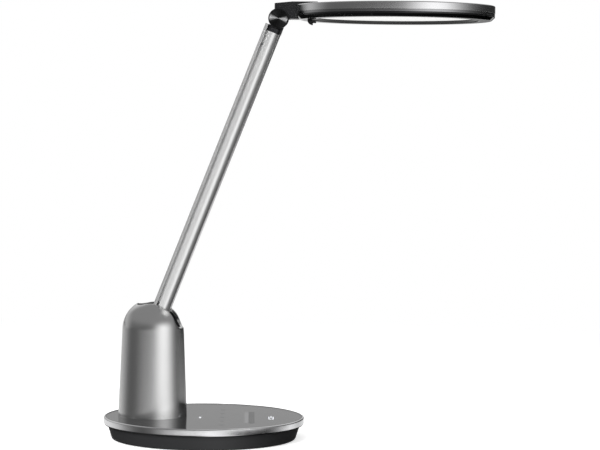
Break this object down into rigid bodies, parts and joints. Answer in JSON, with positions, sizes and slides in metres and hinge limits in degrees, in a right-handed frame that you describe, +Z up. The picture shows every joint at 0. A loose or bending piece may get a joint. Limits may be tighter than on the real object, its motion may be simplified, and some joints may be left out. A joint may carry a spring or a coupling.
{
  "type": "desk lamp",
  "caption": "Desk lamp with a thin round panel head on a slim leaning arm, a bullet-shaped pillar with a slot and a low round base with touch controls.",
  "frame": {"origin": "centre of the base's underside, in the plane it rests on", "axes": "+Z up, +X from the pillar towards the head, +Y to the left when looking along +X; the lamp's plane of symmetry is Y = 0"},
  "size_m": [0.3487, 0.181, 0.3941],
  "materials": {
    "black_rubber": "fine matt",
    "tray_black": "satin moulded",
    "rim_silver": "satin turned",
    "plate_grey": "silver-grey lacquer",
    "ballast_iron": "rough cast",
    "zinc_steel": "zinc plated",
    "board_green": "solder mask",
    "board_parts": "moulded",
    "copper": "bare",
    "lens_white": "clear moulded",
    "inlet_black": "moulded",
    "satin_shell": "satin anodised",
    "liner_black": "moulded",
    "bracket_metal": "die cast",
    "washer_brown": "moulded friction lining",
    "spring_steel": "oiled",
    "foot_dark": "die cast and blackened",
    "arm_silver": "satin anodised",
    "strip_grey": "silver lacquer",
    "lead_grey": "smooth",
    "end_dark": "die cast and blackened",
    "neck_black": "half gloss",
    "seat_black": "gloss",
    "cap_metal": "spun",
    "housing_silver": "satin anodised",
    "trim_metal": "bright turned",
    "bezel_black": "high gloss",
    "diffuser_white": "opal",
    "guide_clear": "clear acrylic",
    "reflector_white": "white film",
    "back_plate_metal": "plain sheet",
    "led_board_white": "white solder mask",
    "led_yellow": "phosphor"
  },
  "bodies": {
    "base": {"anti_slip_pad": "black_rubber", "base_tray": "tray_black", "base_rim": "rim_silver", "base_plate": "plate_grey", "ballast_weight": "ballast_iron", "ballast_spacers": "zinc_steel", "base_screws": "zinc_steel", "control_board": "board_green", "board_components": "board_parts", "touch_pads": "copper", "board_screws": "zinc_steel", "indicator_lens": "lens_white", "power_inlet": "inlet_black", "pillar_shell": "satin_shell", "slot_liner": "liner_black", "pivot_bracket": "bracket_metal", "pillar_screws": "zinc_steel", "pivot_bolt": "zinc_steel", "pivot_nut": "zinc_steel", "pivot_friction_washers": "washer_brown", "pivot_disc_springs": "spring_steel"},
    "arm": {"arm_foot": "foot_dark", "arm_profile": "arm_silver", "arm_rear_strip": "strip_grey", "arm_cable": "lead_grey", "arm_foot_screws": "zinc_steel", "arm_end_fitting": "end_dark", "arm_end_screws": "zinc_steel"},
    "head": {"hinge_bolt": "zinc_steel", "hinge_nut": "zinc_steel", "hinge_friction_washers": "washer_brown", "hinge_fork": "neck_black", "hinge_cap_seats": "seat_black", "hinge_caps": "cap_metal", "neck_block": "neck_black", "neck_screws": "zinc_steel", "head_housing": "housing_silver", "head_trim_ring": "trim_metal", "head_bezel": "bezel_black", "diffuser": "diffuser_white", "light_guide": "guide_clear", "reflector_sheet": "reflector_white", "back_plate": "back_plate_metal", "led_strip": "led_board_white", "led_chips": "led_yellow", "back_plate_screws": "zinc_steel", "head_rest_bumper": "black_rubber"}
  },
  "joints": [
    {"name": "arm_tilt", "type": "hinge", "parent": "base", "child": "arm", "pos_m": [-0.047, 0, 0.0919], "axis": [0, 1, 0], "range_deg": [-19, 26]},
    {"name": "head_tilt", "type": "hinge", "parent": "arm", "child": "head", "pos_m": [0.06593, 0, 0.37888], "axis": [0, 1, 0], "range_deg": [-65, 58]}
  ]
}
